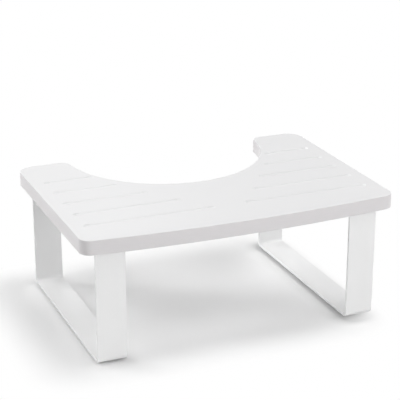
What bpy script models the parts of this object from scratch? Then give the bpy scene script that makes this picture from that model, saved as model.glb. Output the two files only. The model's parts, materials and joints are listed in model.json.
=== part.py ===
"""Toilet footstool: a white board with an elliptical cut-out on two closed loops of flat steel bar.

The origin lies on the floor under the middle of the board.
+X is the right-hand side, -Y the bowed front edge, +Y the edge with the cut-out, and +Z is up.
All lengths are in metres.
"""
import math

import bmesh
import bpy

# Overall sizes
BOARD_WIDTH = 0.440
BOARD_DEPTH = 0.310
STOOL_HEIGHT = 0.180
BOARD_THICKNESS = 0.020

# Outline of the board
FRONT_BOW = 0.012
FRONT_CORNER_RADIUS = 0.015
BACK_CORNER_RADIUS = 0.022
PRONG_WIDTH = 0.075
PRONG_TIP_RADIUS = 0.013
CUTOUT_DEPTH = 0.150
TOP_EDGE_RADIUS = 0.0012
BOTTOM_EDGE_RADIUS = 0.0010

# Anti-slip grooves in the top of the board, the same number on each side
GROOVE_WIDTH = 0.0080
GROOVE_DEPTH = 0.0006
GROOVE_END_DEPTH = 0.0012
FIRST_GROOVE_INSET = 0.048
LAST_GROOVE_INSET = 0.0768
GROOVE_SIDE_INSET = 0.0195
GROOVE_CUTOUT_MARGIN = 0.0085
GROOVE_INNER_END_SHARES = (0.107, 0.244, 0.383, 0.514, 0.609)

# Leg loops, each bent from one flat bar
BAR_WIDTH = 0.040
BAR_THICKNESS = 0.004
BAR_INNER_BEND_RADIUS = 0.004
BAR_EDGE_RADIUS = 0.0006
LOOP_SIDE_INSET = 0.0205
LOOP_FRONT_INSET = 0.012
LOOP_BACK_INSET = 0.001

# Button head bolts and their washers
BOLT_DIAMETER = 0.006
BOLT_TIP_CHAMFER = 0.0008
BOLT_TIP_INSET = 0.004
BOLT_HEAD_OVERHANG = 0.00225
BOLT_HEAD_HEIGHT = 0.0033
BOLT_HEAD_RIM = 0.0005
BOLT_SOCKET_WIDTH = 0.004
BOLT_SOCKET_DEPTH = 0.0020
BOLT_SOCKET_BORDER = 0.0005
BOLT_HOLE_CLEARANCE = 0.0005
BOLT_END_INSET = 0.045
WASHER_RING_WIDTH = 0.0027
WASHER_THICKNESS = 0.0016

# Threaded inserts sunk in the underside of the board
INSERT_WALL = 0.0010
INSERT_THREAD_DEPTH = 0.0007
INSERT_SINK = 0.0005
INSERT_COVER = 0.0062

# Anti-slip pads under the loops
PAD_DIAMETER = 0.026
PAD_THICKNESS = 0.002
PAD_CHAMFER = 0.0004
PAD_END_INSET = 0.034

# Gaps between pieces, and how far a cutter runs past the face that it cuts
SEAT_GAP = 0.0003
CUT_OVERRUN = 0.002
WELD_DISTANCE = 0.00001

# Fineness of the round shapes
BOW_STEPS = 12
CORNER_STEPS = 8
TIP_STEPS = 6
CUTOUT_STEPS = 26
EDGE_STEPS = 2
BEND_STEPS = 6
BAR_EDGE_STEPS = 1
GROOVE_SIDES = 64
GROOVE_RINGS = 31
HOLE_SIDES = 20
BOLT_SIDES = 20
BOLT_DOME_STEPS = 3
HEX_SIDES = 6
INSERT_SIDES = 16
INSERT_THREAD_TURNS = 4
PAD_SIDES = 28
SOLVER_STEPS = 60
SHARP_ANGLE = math.radians(32)
ROUND_PROFILE = 0.5

# Finishes: linear red, green and blue, then roughness, then metallic value
FINISHES = {
    "white_lacquer": ((0.83, 0.83, 0.84), 0.38, 0.0),
    "white_powder_coat": ((0.88, 0.88, 0.88), 0.45, 0.0),
    "zinc_plate": ((0.62, 0.63, 0.65), 0.30, 1.0),
    "insert_brass": ((0.72, 0.56, 0.28), 0.35, 1.0),
    "grey_rubber": ((0.30, 0.30, 0.31), 0.80, 0.0),
}

# Places of the bolts along a loop, and of the pads, from the front to the back
BOLT_PLACES = ("front", "front_middle", "rear_middle", "rear")
PAD_PLACES = ("front", "rear")
SIDES = {"left": -1, "right": 1}

# Sizes that follow from those above
HALF_WIDTH = BOARD_WIDTH / 2
HALF_DEPTH = BOARD_DEPTH / 2
CORNER_LINE = FRONT_BOW - HALF_DEPTH
BOARD_BOTTOM = STOOL_HEIGHT - BOARD_THICKNESS
CUTOUT_HALF_WIDTH = HALF_WIDTH - PRONG_WIDTH
LOOP_BOTTOM = PAD_THICKNESS + SEAT_GAP
LOOP_TOP = BOARD_BOTTOM - SEAT_GAP
LOOP_FRONT = CORNER_LINE + LOOP_FRONT_INSET
LOOP_BACK = HALF_DEPTH - LOOP_BACK_INSET
LOOP_MIDDLE = HALF_WIDTH - LOOP_SIDE_INSET - BAR_WIDTH / 2
BEND_RADIUS = BAR_INNER_BEND_RADIUS + BAR_THICKNESS / 2
BAR_HOLE_DIAMETER = BOLT_DIAMETER + 2 * BOLT_HOLE_CLEARANCE
WASHER_TOP = LOOP_TOP - BAR_THICKNESS - SEAT_GAP
BOLT_SEAT = WASHER_TOP - WASHER_THICKNESS - SEAT_GAP
INSERT_BOTTOM = BOARD_BOTTOM + INSERT_SINK
INSERT_HOLE_TOP = STOOL_HEIGHT - INSERT_COVER
INSERT_LENGTH = INSERT_HOLE_TOP - SEAT_GAP - INSERT_BOTTOM
INSERT_BORE_RADIUS = BOLT_DIAMETER / 2 + SEAT_GAP
INSERT_ROOT_RADIUS = INSERT_BORE_RADIUS + INSERT_WALL
INSERT_CREST_RADIUS = INSERT_ROOT_RADIUS + INSERT_THREAD_DEPTH
INSERT_HOLE_DIAMETER = 2 * (INSERT_CREST_RADIUS + SEAT_GAP)
BOLT_LENGTH = INSERT_HOLE_TOP - SEAT_GAP - BOLT_TIP_INSET - BOLT_SEAT


def clear_scene():
    """Remove the objects that the scene starts with."""
    for thing in list(bpy.data.objects):
        bpy.data.objects.remove(thing, do_unlink=True)


def new_collection(name):
    """Make a collection in the scene."""
    collection = bpy.data.collections.new(name)
    bpy.context.scene.collection.children.link(collection)
    return collection


def new_material(name, colour, roughness, metallic):
    """Make a material with one Principled shader."""
    material = bpy.data.materials.new(name)
    material.use_nodes = True
    shader = material.node_tree.nodes["Principled BSDF"]
    shader.inputs["Base Color"].default_value = (*colour, 1.0)
    shader.inputs["Roughness"].default_value = roughness
    shader.inputs["Metallic"].default_value = metallic
    material.diffuse_color = (*colour, 1.0)
    return material


def new_piece(name, mesh, collection, location=(0, 0, 0)):
    """Put a mesh in a collection as an object."""
    piece = bpy.data.objects.new(name, mesh)
    piece.location = location
    collection.objects.link(piece)
    return piece


def finish_piece(piece, material, parent):
    """Give a piece its material, its shading and its parent."""
    if not piece.data.materials:
        piece.data.materials.append(material)
    piece.data.shade_smooth()
    piece.data.set_sharp_from_angle(angle=SHARP_ANGLE)
    piece.parent = parent


def evaluated_mesh(piece, name):
    """Return the mesh that an object has once its modifiers have run, and remove the object."""
    view = bpy.context.evaluated_depsgraph_get()
    mesh = bpy.data.meshes.new_from_object(piece.evaluated_get(view))
    mesh.name = name
    bpy.data.objects.remove(piece, do_unlink=True)
    return mesh


def cut_away(piece, cutter):
    """Cut one object with another, which is kept as a wire guide."""
    cutter.hide_render = True
    cutter.display_type = "WIRE"
    cut = piece.modifiers.new("Cut " + cutter.name, "BOOLEAN")
    cut.operation = "DIFFERENCE"
    cut.solver = "EXACT"
    cut.object = cutter


def arc(centre, radius, start, end, steps):
    """Points of a circular arc, both ends included."""
    angles = [start + (end - start) * step / steps for step in range(steps + 1)]
    return [(centre[0] + radius * math.cos(a), centre[1] + radius * math.sin(a)) for a in angles]


def closed_curve(name, points):
    """Make a flat curve that is one closed line through the points."""
    curve = bpy.data.curves.new(name, "CURVE")
    curve.dimensions = "2D"
    spline = curve.splines.new("POLY")
    spline.points.add(len(points) - 1)
    for point, (x, y) in zip(spline.points, points):
        point.co = (x, y, 0, 1)
    spline.use_cyclic_u = True
    return curve


def rounded_rectangle(width, height, centre, radius, steps):
    """Points of a rectangle with round corners, anticlockwise."""
    across = width / 2 - radius
    up = height / 2 - radius
    points = []
    for quarter, (x, y) in enumerate(((across, up), (-across, up), (-across, -up), (across, -up))):
        start = quarter * math.pi / 2
        points += arc((centre[0] + x, centre[1] + y), radius, start, start + math.pi / 2, steps)
    return points


def turned_mesh(name, profile, closed, sides, collection, cutter=None):
    """Turn a profile of radius and height about the Z axis; it runs down the outer side."""
    edges = [(step, step + 1) for step in range(len(profile) - 1)]
    if closed:
        edges.append((len(profile) - 1, 0))
    mesh = bpy.data.meshes.new(name)
    mesh.from_pydata([(radius, 0, height) for radius, height in profile], edges, [])
    piece = new_piece(name, mesh, collection)
    turn = piece.modifiers.new("Turn", "SCREW")
    turn.axis = "Z"
    turn.steps = sides
    turn.render_steps = sides
    turn.use_merge_vertices = True
    turn.merge_threshold = WELD_DISTANCE
    if cutter:
        cut_away(piece, cutter)
    return evaluated_mesh(piece, name)


def cylinders(name, diameter, bottom, top, places, collection):
    """Make a row of upright cylinders as one object."""
    shape = bmesh.new()
    for x, y in places:
        made = bmesh.ops.create_cone(
            shape, cap_ends=True, segments=HOLE_SIDES,
            radius1=diameter / 2, radius2=diameter / 2, depth=top - bottom)
        bmesh.ops.translate(shape, verts=made["verts"], vec=(x, y, (top + bottom) / 2))
    mesh = bpy.data.meshes.new(name)
    shape.to_mesh(mesh)
    shape.free()
    return new_piece(name, mesh, collection)


def cutout_normal(angle):
    """Unit normal of the cut-out's ellipse, pointing into the board."""
    across = math.cos(angle) / CUTOUT_HALF_WIDTH
    along = -math.sin(angle) / CUTOUT_DEPTH
    length = math.hypot(across, along)
    return across / length, along / length


def cutout_point(angle):
    """Point of the cut-out's ellipse, whose middle lies on the back edge."""
    return CUTOUT_HALF_WIDTH * math.cos(angle), HALF_DEPTH - CUTOUT_DEPTH * math.sin(angle)


def tip_angle():
    """Ellipse angle at which the rounding of a prong's tip touches the cut-out."""
    low, high = 0.0, math.pi / 2
    for _ in range(SOLVER_STEPS):
        middle = (low + high) / 2
        centre = cutout_point(middle)[1] + PRONG_TIP_RADIUS * cutout_normal(middle)[1]
        if centre > HALF_DEPTH - PRONG_TIP_RADIUS:
            low = middle
        else:
            high = middle
    return low


def cutout_half_width_at(y):
    """Half the width of the cut-out at a place along the depth of the board."""
    share = (HALF_DEPTH - y) / CUTOUT_DEPTH
    if share >= 1:
        return 0.0
    return CUTOUT_HALF_WIDTH * math.sqrt(1 - share * share)


def board_outline():
    """Outline of the board seen from above, anticlockwise from the middle of the front edge."""
    bow_radius = (HALF_WIDTH ** 2 + FRONT_BOW ** 2) / (2 * FRONT_BOW)
    bow_centre = (0, bow_radius - HALF_DEPTH)
    corner_x = HALF_WIDTH - FRONT_CORNER_RADIUS
    corner_drop = math.sqrt((bow_radius - FRONT_CORNER_RADIUS) ** 2 - corner_x ** 2)
    corner = (corner_x, bow_centre[1] - corner_drop)
    bow_end = math.atan2(corner_x, corner_drop) - math.pi / 2
    front = arc(bow_centre, bow_radius, -math.pi / 2, bow_end, BOW_STEPS)
    front_corner = arc(corner, FRONT_CORNER_RADIUS, bow_end, 0, CORNER_STEPS)

    back_corner_centre = (HALF_WIDTH - BACK_CORNER_RADIUS, HALF_DEPTH - BACK_CORNER_RADIUS)
    back_corner = arc(back_corner_centre, BACK_CORNER_RADIUS, 0, math.pi / 2, CORNER_STEPS)

    touch = tip_angle()
    normal = cutout_normal(touch)
    touch_point = cutout_point(touch)
    tip_centre = tuple(point + PRONG_TIP_RADIUS * part for point, part in zip(touch_point, normal))
    tip_end = math.atan2(-normal[1], -normal[0])
    tip = arc(tip_centre, PRONG_TIP_RADIUS, math.pi / 2, tip_end, TIP_STEPS)
    spread = math.pi / 2 - touch
    cutout = [cutout_point(touch + spread * step / CUTOUT_STEPS) for step in range(1, CUTOUT_STEPS + 1)]

    right = front + front_corner[1:] + back_corner + tip + cutout
    left = [(-x, y) for x, y in reversed(right[1:-1])]
    return right + left


def board_blank(collection):
    """Plate with the board's outline, with its top and bottom edges rounded over."""
    curve = closed_curve("board_blank", board_outline())
    curve.fill_mode = "BOTH"
    curve.extrude = BOARD_THICKNESS / 2
    mesh = evaluated_mesh(new_piece("board_blank", curve, collection), "footboard")

    shape = bmesh.new()
    shape.from_mesh(mesh)
    bmesh.ops.remove_doubles(shape, verts=shape.verts, dist=WELD_DISTANCE)
    for side in (1, -1):
        cap = [face for face in shape.faces if face.normal.z * side > math.cos(SHARP_ANGLE)]
        bmesh.ops.dissolve_faces(shape, faces=cap)
    for side, radius in ((1, TOP_EDGE_RADIUS), (-1, BOTTOM_EDGE_RADIUS)):
        rim = [edge for edge in shape.edges if all(vert.co.z * side > 0 for vert in edge.verts)]
        bmesh.ops.bevel(
            shape, geom=rim, offset=radius, offset_type="OFFSET", segments=EDGE_STEPS,
            profile=ROUND_PROFILE, affect="EDGES", clamp_overlap=False)
    shape.to_mesh(mesh)
    shape.free()
    return mesh


def add_capsule(shape, radius, stretch, centre):
    """Add a sphere whose two halves are drawn apart along X."""
    made = bmesh.ops.create_uvsphere(
        shape, u_segments=GROOVE_SIDES, v_segments=GROOVE_RINGS, radius=radius)
    for vert in made["verts"]:
        along = vert.co.z + math.copysign(stretch, vert.co.z)
        vert.co = (centre[0] + along, centre[1] + vert.co.y, centre[2] - vert.co.x)


def groove_cutters(collection):
    """Round-nosed slots for the grooves of both sides, and balls for their deeper ends."""
    nose_radius = (GROOVE_WIDTH ** 2 / 4 + GROOVE_DEPTH ** 2) / (2 * GROOVE_DEPTH)
    slot_height = STOOL_HEIGHT - GROOVE_DEPTH + nose_radius
    ball_height = STOOL_HEIGHT - GROOVE_END_DEPTH + nose_radius
    outer = HALF_WIDTH - GROOVE_SIDE_INSET
    first = CORNER_LINE + FIRST_GROOVE_INSET
    last = HALF_DEPTH - LAST_GROOVE_INSET
    pitch = (last - first) / (len(GROOVE_INNER_END_SHARES) - 1)
    slots, balls = bmesh.new(), bmesh.new()
    for row, share in enumerate(GROOVE_INNER_END_SHARES):
        y = first + row * pitch
        inner = max(share * HALF_WIDTH, cutout_half_width_at(y) + GROOVE_CUTOUT_MARGIN)
        stretch = (outer - inner) / 2 - GROOVE_WIDTH / 2
        for side in SIDES.values():
            middle = side * (outer + inner) / 2
            add_capsule(slots, nose_radius, stretch, (middle, y, slot_height))
            for end in (middle - stretch, middle + stretch):
                add_capsule(balls, nose_radius, 0, (end, y, ball_height))
    cutters = []
    for name, shape in (("groove_cutter", slots), ("groove_end_cutter", balls)):
        mesh = bpy.data.meshes.new(name)
        shape.to_mesh(mesh)
        shape.free()
        cutters.append(new_piece(name, mesh, collection))
    return cutters


def bolt_spots(side):
    """Places of the bolts on one side, from the front to the back."""
    first = LOOP_FRONT + BOLT_END_INSET
    last = LOOP_BACK - BOLT_END_INSET
    step = (last - first) / (len(BOLT_PLACES) - 1)
    return [(side * LOOP_MIDDLE, first + step * count) for count in range(len(BOLT_PLACES))]


def make_footboard(parts, cutters):
    """Board with its grooves and the holes for the threaded inserts."""
    mesh = board_blank(parts)
    board = new_piece("footboard", mesh, parts, (0, 0, STOOL_HEIGHT - BOARD_THICKNESS / 2))
    for cutter in groove_cutters(cutters):
        cut_away(board, cutter)
    spots = [spot for side in SIDES.values() for spot in bolt_spots(side)]
    holes = cylinders(
        "insert_hole_cutter", INSERT_HOLE_DIAMETER, BOARD_BOTTOM - CUT_OVERRUN,
        INSERT_HOLE_TOP, spots, cutters)
    cut_away(board, holes)
    return board


def bar_section(cutters):
    """Rounded section of the flat bar, as a closed curve."""
    outline = rounded_rectangle(BAR_THICKNESS, BAR_WIDTH, (0, 0), BAR_EDGE_RADIUS, BAR_EDGE_STEPS)
    section = new_piece("bar_section", closed_curve("bar_section", outline), cutters)
    section.hide_render = True
    section.display_type = "WIRE"
    return section


def make_loop(name, side, section, parts, cutters):
    """One leg loop: the bar bent to a closed rectangle, with bolt holes in its top."""
    length = LOOP_BACK - LOOP_FRONT - BAR_THICKNESS
    height = LOOP_TOP - LOOP_BOTTOM - BAR_THICKNESS
    middle = ((LOOP_FRONT + LOOP_BACK) / 2, (LOOP_BOTTOM + LOOP_TOP) / 2)
    curve = closed_curve(name, rounded_rectangle(length, height, middle, BEND_RADIUS, BEND_STEPS))
    curve.fill_mode = "NONE"
    curve.bevel_mode = "OBJECT"
    curve.bevel_object = section
    mesh = evaluated_mesh(new_piece(name, curve, parts), name)
    shape = bmesh.new()
    shape.from_mesh(mesh)
    bmesh.ops.remove_doubles(shape, verts=shape.verts, dist=WELD_DISTANCE)
    bmesh.ops.recalc_face_normals(shape, faces=shape.faces)
    shape.to_mesh(mesh)
    shape.free()
    loop = new_piece(name, mesh, parts, (side * LOOP_MIDDLE, 0, 0))
    loop.rotation_euler = (math.pi / 2, 0, math.pi / 2)
    holes = cylinders(
        name + "_hole_cutter", BAR_HOLE_DIAMETER, LOOP_TOP - BAR_THICKNESS - CUT_OVERRUN,
        LOOP_TOP + CUT_OVERRUN, bolt_spots(side), cutters)
    cut_away(loop, holes)
    return loop


def bolt_mesh(parts, cutters):
    """Button head bolt standing on its head, with its seat at height zero and a hexagon socket."""
    shank = BOLT_DIAMETER / 2
    head = shank + BOLT_HEAD_OVERHANG
    socket_radius = BOLT_SOCKET_WIDTH / math.sqrt(3)
    flat = socket_radius + BOLT_SOCKET_BORDER
    dome_height = BOLT_HEAD_HEIGHT - BOLT_HEAD_RIM
    profile = [(0, BOLT_LENGTH), (shank - BOLT_TIP_CHAMFER, BOLT_LENGTH),
               (shank, BOLT_LENGTH - BOLT_TIP_CHAMFER), (shank, 0), (head, 0)]
    for step in range(BOLT_DOME_STEPS + 1):
        angle = math.pi / 2 * step / BOLT_DOME_STEPS
        radius = flat + (head - flat) * math.cos(angle)
        profile.append((radius, -BOLT_HEAD_RIM - dome_height * math.sin(angle)))
    profile.append((0, -BOLT_HEAD_HEIGHT))

    shape = bmesh.new()
    bmesh.ops.create_cone(
        shape, cap_ends=True, segments=HEX_SIDES, depth=BOLT_SOCKET_DEPTH + CUT_OVERRUN,
        radius1=socket_radius, radius2=socket_radius)
    mesh = bpy.data.meshes.new("socket_cutter")
    shape.to_mesh(mesh)
    shape.free()
    middle = (BOLT_SOCKET_DEPTH - CUT_OVERRUN) / 2 - BOLT_HEAD_HEIGHT
    socket = new_piece("socket_cutter", mesh, cutters, (0, 0, middle))
    return turned_mesh("bolt", profile, False, BOLT_SIDES, parts, socket)


def washer_mesh(parts):
    """Flat washer with its top face at height zero."""
    inner = BOLT_DIAMETER / 2 + SEAT_GAP
    outer = inner + WASHER_RING_WIDTH
    profile = [(outer, 0), (outer, -WASHER_THICKNESS), (inner, -WASHER_THICKNESS), (inner, 0)]
    return turned_mesh("washer", profile, True, BOLT_SIDES, parts)


def insert_mesh(parts):
    """Threaded insert with its lower end at height zero and ridges that grip the board."""
    pitch = INSERT_LENGTH / INSERT_THREAD_TURNS
    profile = []
    for turn in range(INSERT_THREAD_TURNS):
        top = INSERT_LENGTH - turn * pitch
        profile += [(INSERT_ROOT_RADIUS, top), (INSERT_CREST_RADIUS, top - pitch / 2)]
    profile += [(INSERT_ROOT_RADIUS, 0), (INSERT_BORE_RADIUS, 0), (INSERT_BORE_RADIUS, INSERT_LENGTH)]
    return turned_mesh("insert", profile, True, INSERT_SIDES, parts)


def pad_mesh(parts):
    """Round pad standing on the floor, with its lower edge chamfered."""
    rim = PAD_DIAMETER / 2
    profile = [(0, PAD_THICKNESS), (rim, PAD_THICKNESS), (rim, PAD_CHAMFER),
               (rim - PAD_CHAMFER, 0), (0, 0)]
    return turned_mesh("pad", profile, False, PAD_SIDES, parts)


def make_fasteners(parts, cutters, materials, parent):
    """Bolts, washers and threaded inserts of both loops."""
    bolt = bolt_mesh(parts, cutters)
    washer = washer_mesh(parts)
    insert = insert_mesh(parts)
    kinds = (("bolt", bolt, BOLT_SEAT, materials["zinc_plate"]),
             ("washer", washer, WASHER_TOP, materials["zinc_plate"]),
             ("insert", insert, INSERT_BOTTOM, materials["insert_brass"]))
    for side_name, side in SIDES.items():
        for place, (x, y) in zip(BOLT_PLACES, bolt_spots(side)):
            for kind, mesh, height, material in kinds:
                piece = new_piece(f"{side_name}_{kind}_{place}", mesh, parts, (x, y, height))
                finish_piece(piece, material, parent)


def make_pads(parts, material, parent):
    """Anti-slip pads near both ends of each loop."""
    mesh = pad_mesh(parts)
    lines = (LOOP_FRONT + PAD_END_INSET, LOOP_BACK - PAD_END_INSET)
    for side_name, side in SIDES.items():
        for place, y in zip(PAD_PLACES, lines):
            piece = new_piece(f"{side_name}_pad_{place}", mesh, parts, (side * LOOP_MIDDLE, y, 0))
            finish_piece(piece, material, parent)


def main():
    """Build the footstool."""
    clear_scene()
    parts = new_collection("toilet_footstool")
    cutters = new_collection("cutters_and_guides")
    stool = bpy.data.objects.new("toilet_footstool", None)
    parts.objects.link(stool)
    materials = {name: new_material(name, *finish) for name, finish in FINISHES.items()}
    finish_piece(make_footboard(parts, cutters), materials["white_lacquer"], stool)
    section = bar_section(cutters)
    for side_name, side in SIDES.items():
        loop = make_loop(side_name + "_leg_loop", side, section, parts, cutters)
        finish_piece(loop, materials["white_powder_coat"], stool)
    make_fasteners(parts, cutters, materials, stool)
    make_pads(parts, materials["grey_rubber"], stool)


main()
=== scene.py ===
"""Toilet footstool: a white lacquered board with a curved cut-out, on two closed loops of flat steel bar.

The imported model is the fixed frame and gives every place. The board, the leg loops, the bolts, the washers
and the pads get a finer skin here; the threaded inserts keep the model's own. Each finish is made from nodes.
+X is the right-hand side, -Y the bowed front edge, +Y the edge with the cut-out, and +Z is up.
All lengths are in metres.
"""
import json
import math

import bpy
from bpy.props import FloatProperty, FloatVectorProperty, PointerProperty
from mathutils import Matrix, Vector
from mathutils.geometry import delaunay_2d_cdt, normal

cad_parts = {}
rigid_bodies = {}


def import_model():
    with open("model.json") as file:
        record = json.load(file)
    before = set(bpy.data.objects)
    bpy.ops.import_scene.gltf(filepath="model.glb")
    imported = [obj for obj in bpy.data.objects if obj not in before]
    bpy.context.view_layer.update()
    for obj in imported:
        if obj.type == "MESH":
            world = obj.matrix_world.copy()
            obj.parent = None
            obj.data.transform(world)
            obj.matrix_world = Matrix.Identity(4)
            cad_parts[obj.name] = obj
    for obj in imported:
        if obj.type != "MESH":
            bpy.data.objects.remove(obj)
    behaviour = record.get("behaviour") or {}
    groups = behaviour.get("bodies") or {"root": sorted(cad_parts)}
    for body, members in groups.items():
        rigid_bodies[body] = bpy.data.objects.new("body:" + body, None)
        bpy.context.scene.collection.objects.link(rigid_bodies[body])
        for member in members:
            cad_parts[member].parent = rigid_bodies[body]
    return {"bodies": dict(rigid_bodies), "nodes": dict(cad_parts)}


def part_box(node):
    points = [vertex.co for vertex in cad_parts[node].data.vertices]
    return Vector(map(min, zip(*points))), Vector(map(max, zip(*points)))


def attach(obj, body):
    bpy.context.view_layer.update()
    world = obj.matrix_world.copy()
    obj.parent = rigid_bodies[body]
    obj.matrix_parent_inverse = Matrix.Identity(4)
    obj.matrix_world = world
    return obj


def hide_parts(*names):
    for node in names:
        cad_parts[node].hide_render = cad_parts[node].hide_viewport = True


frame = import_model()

bl_info = {
    "name": "Toilet Footstool",
    "version": (1, 0, 0),
    "blender": (4, 5, 0),
    "location": "View3D > Sidebar > Footstool",
    "description": "Makes the board, leg loops, fasteners and pads of a toilet footstool, and its stage",
    "category": "Object",
}

BODY = "root"

# The two sides, and the places of the bolts and pads along a side, from the front to the back
SIDES = ("left", "right")
BOLT_PLACES = ("front", "front_middle", "rear_middle", "rear")
PAD_PLACES = ("front", "rear")

# The lamps; the pieces don't mirror the plain ones, which would whiten the board's top from some angles
PLAIN_LAMPS = ("low_front", "low_back", "right_front")
LAMPS = PLAIN_LAMPS + ("back", "high_right", "high_left")

# Where each groove's inner end lies, as shares of half the board's width, from the front row to the back
GROOVE_INNER_END_SHARES = (0.107, 0.244, 0.383, 0.514, 0.609)

# Fineness of the round shapes
BOW_STEPS = 40
CORNER_STEPS = 14
TIP_STEPS = 12
CUTOUT_STEPS = 64
TOP_EDGE_STEPS = 6
BOTTOM_EDGE_STEPS = 3
GROOVE_END_STEPS = 20
GROOVE_RIM_STEPS = 5
GROOVE_WALL_STEPS = 7
BEND_STEPS = 12
BAR_EDGE_STEPS = 4
HOLE_SIDES = 24
TURNED_SIDES = 48
DOME_STEPS = 8
SMALL_EDGE_STEPS = 3
HEX_SIDES = 6
HEAD_SMOOTH_ANGLE = math.radians(25)
DISC_SMOOTH_ANGLE = math.radians(40)

# How often the search for a tangent point halves its range, and how many rays feel for pieces near the floor,
# for the shade painted on it
SOLVER_STEPS = 60
CONTACT_RAYS = 32

# Kind of output of the flat triangulation, and the distance at which it welds points
TRIANGLES_WITH_HOLES = 2
WELD_DISTANCE = 1e-7

UP = Vector((0, 0, 1))
DOWN = Vector((0, 0, -1))
WHITE = (1.0, 1.0, 1.0, 1.0)


def length(name, description, default):
    """A length that the sidebar shows in the scene's units."""
    return FloatProperty(
        name=name, description=description, default=default, min=0, precision=5, unit="LENGTH")


def share(name, description, default):
    """A number from 0 to 1."""
    return FloatProperty(
        name=name, description=description, default=default, min=0, max=1, subtype="FACTOR")


def colour(name, description, default):
    """A linear colour."""
    return FloatVectorProperty(
        name=name, description=description, default=default, min=0, max=1, size=3, subtype="COLOR")


def place(name, description, default):
    """A point of the row frame."""
    return FloatVectorProperty(
        name=name, description=description, default=default, size=3, precision=5,
        subtype="TRANSLATION", unit="LENGTH")


def power(name, description, default):
    """The power of a lamp, in watts."""
    return FloatProperty(name=name, description=description, default=default, min=0, unit="POWER")


def angle(name, description, degrees):
    """An angle that the sidebar shows in degrees."""
    return FloatProperty(
        name=name, description=description, default=math.radians(degrees), unit="ROTATION")


class FootboardSettings(bpy.types.PropertyGroup):
    """Sizes and colours of the board."""

    front_bow: length("Front Bow", "How far the front edge bows out past its corners", 0.012)
    front_corner: length("Front Corner", "Radius of the two front corners", 0.015)
    back_corner: length("Back Corner", "Radius of the two back corners", 0.022)
    prong_width: length("Prong Width", "Width of the board beside the cut-out at the back edge", 0.075)
    prong_tip: length("Prong Tip", "Radius of the corners beside the cut-out", 0.013)
    cutout_depth: length("Cut-out Depth", "Depth of the cut-out from the back edge", 0.150)
    top_edge: length("Top Edge", "Radius of the rounded top edge", 0.0012)
    bottom_edge: length("Bottom Edge", "Radius of the eased bottom edge", 0.0010)
    groove_width: length("Groove Width", "Width of an anti-slip groove", 0.0080)
    groove_depth: length("Groove Depth", "Depth of an anti-slip groove", 0.0006)
    groove_end_depth: length("Groove End Depth", "Depth of a groove's round ends", 0.0012)
    groove_rim: length("Groove Rim", "Radius to which the lacquer softens a groove's rim", 0.0010)
    first_groove: length("First Groove", "From the front corners' line to the first groove", 0.048)
    last_groove: length("Last Groove", "From the back edge to the last groove", 0.0768)
    groove_side: length("Groove Side", "From the side of the board to the grooves' outer ends", 0.0195)
    groove_margin: length("Groove Margin", "Least board left between a groove and the cut-out", 0.0085)
    insert_gap: length("Insert Gap", "Gap round a threaded insert in its hole", 0.0003)
    face_colour: colour("Face Colour", "Lacquer on the top and the underside", (0.831, 0.829, 0.835))
    # The upright edges are painted darker than the top: partly the lacquer's own warmer tone there, partly
    # painted shade of the sides
    edge_colour_and_shade: colour(
        "Edge Colour", "Lacquer on the edges, where the board drinks it", (0.724, 0.705, 0.714))
    roughness: share("Roughness", "Roughness of the satin lacquer", 0.38)


class LegLoopSettings(bpy.types.PropertyGroup):
    """Sizes and colour of the two loops of bent flat bar."""

    thickness: length("Thickness", "Thickness of the flat bar", 0.004)
    inner_bend: length("Inner Bend", "Inner radius of the four bends", 0.004)
    edge: length("Edge", "Radius of the bar's rolled edges", 0.0006)
    hole: length("Bolt Hole", "Diameter of the holes in the top bar", 0.007)
    coat_colour: colour("Coat Colour", "White powder coat", (0.90, 0.90, 0.90))
    roughness: share("Roughness", "Roughness of the powder coat", 0.45)


class FastenerSettings(bpy.types.PropertyGroup):
    """Sizes and colours of the bolts, washers and threaded inserts."""

    head_overhang: length("Head Overhang", "From the shank to the rim of the bolt's head", 0.00225)
    head_height: length("Head Height", "Height of the bolt's head", 0.0033)
    head_rim: length("Head Rim", "Height of the upright rim of the bolt's head", 0.0005)
    socket_width: length("Socket Width", "Hexagon socket across its flats", 0.004)
    socket_depth: length("Socket Depth", "Depth of the hexagon socket", 0.0020)
    socket_border: length("Socket Border", "Flat ring round the socket", 0.0005)
    tip_chamfer: length("Tip Chamfer", "Chamfer at the bolt's tip", 0.0008)
    washer_ring: length("Washer Ring", "Width of the washer's ring", 0.0027)
    washer_edge: length("Washer Edge", "Radius of the washer's stamped edges", 0.0003)
    zinc_colour: colour("Zinc Colour", "Bright zinc plate", (0.62, 0.63, 0.65))
    zinc_roughness: share("Zinc Roughness", "Roughness of the zinc plate", 0.30)
    brass_colour: colour("Brass Colour", "Turned brass of the inserts", (0.72, 0.56, 0.28))
    brass_roughness: share("Brass Roughness", "Roughness of the brass", 0.35)


class PadSettings(bpy.types.PropertyGroup):
    """Size and colour of the anti-slip pads."""

    edge: length("Edge", "Radius of the pad's lower edge", 0.0004)
    rubber_colour: colour("Rubber Colour", "Grey rubber", (0.30, 0.30, 0.31))
    roughness: share("Roughness", "Roughness of the rubber", 0.80)


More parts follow.
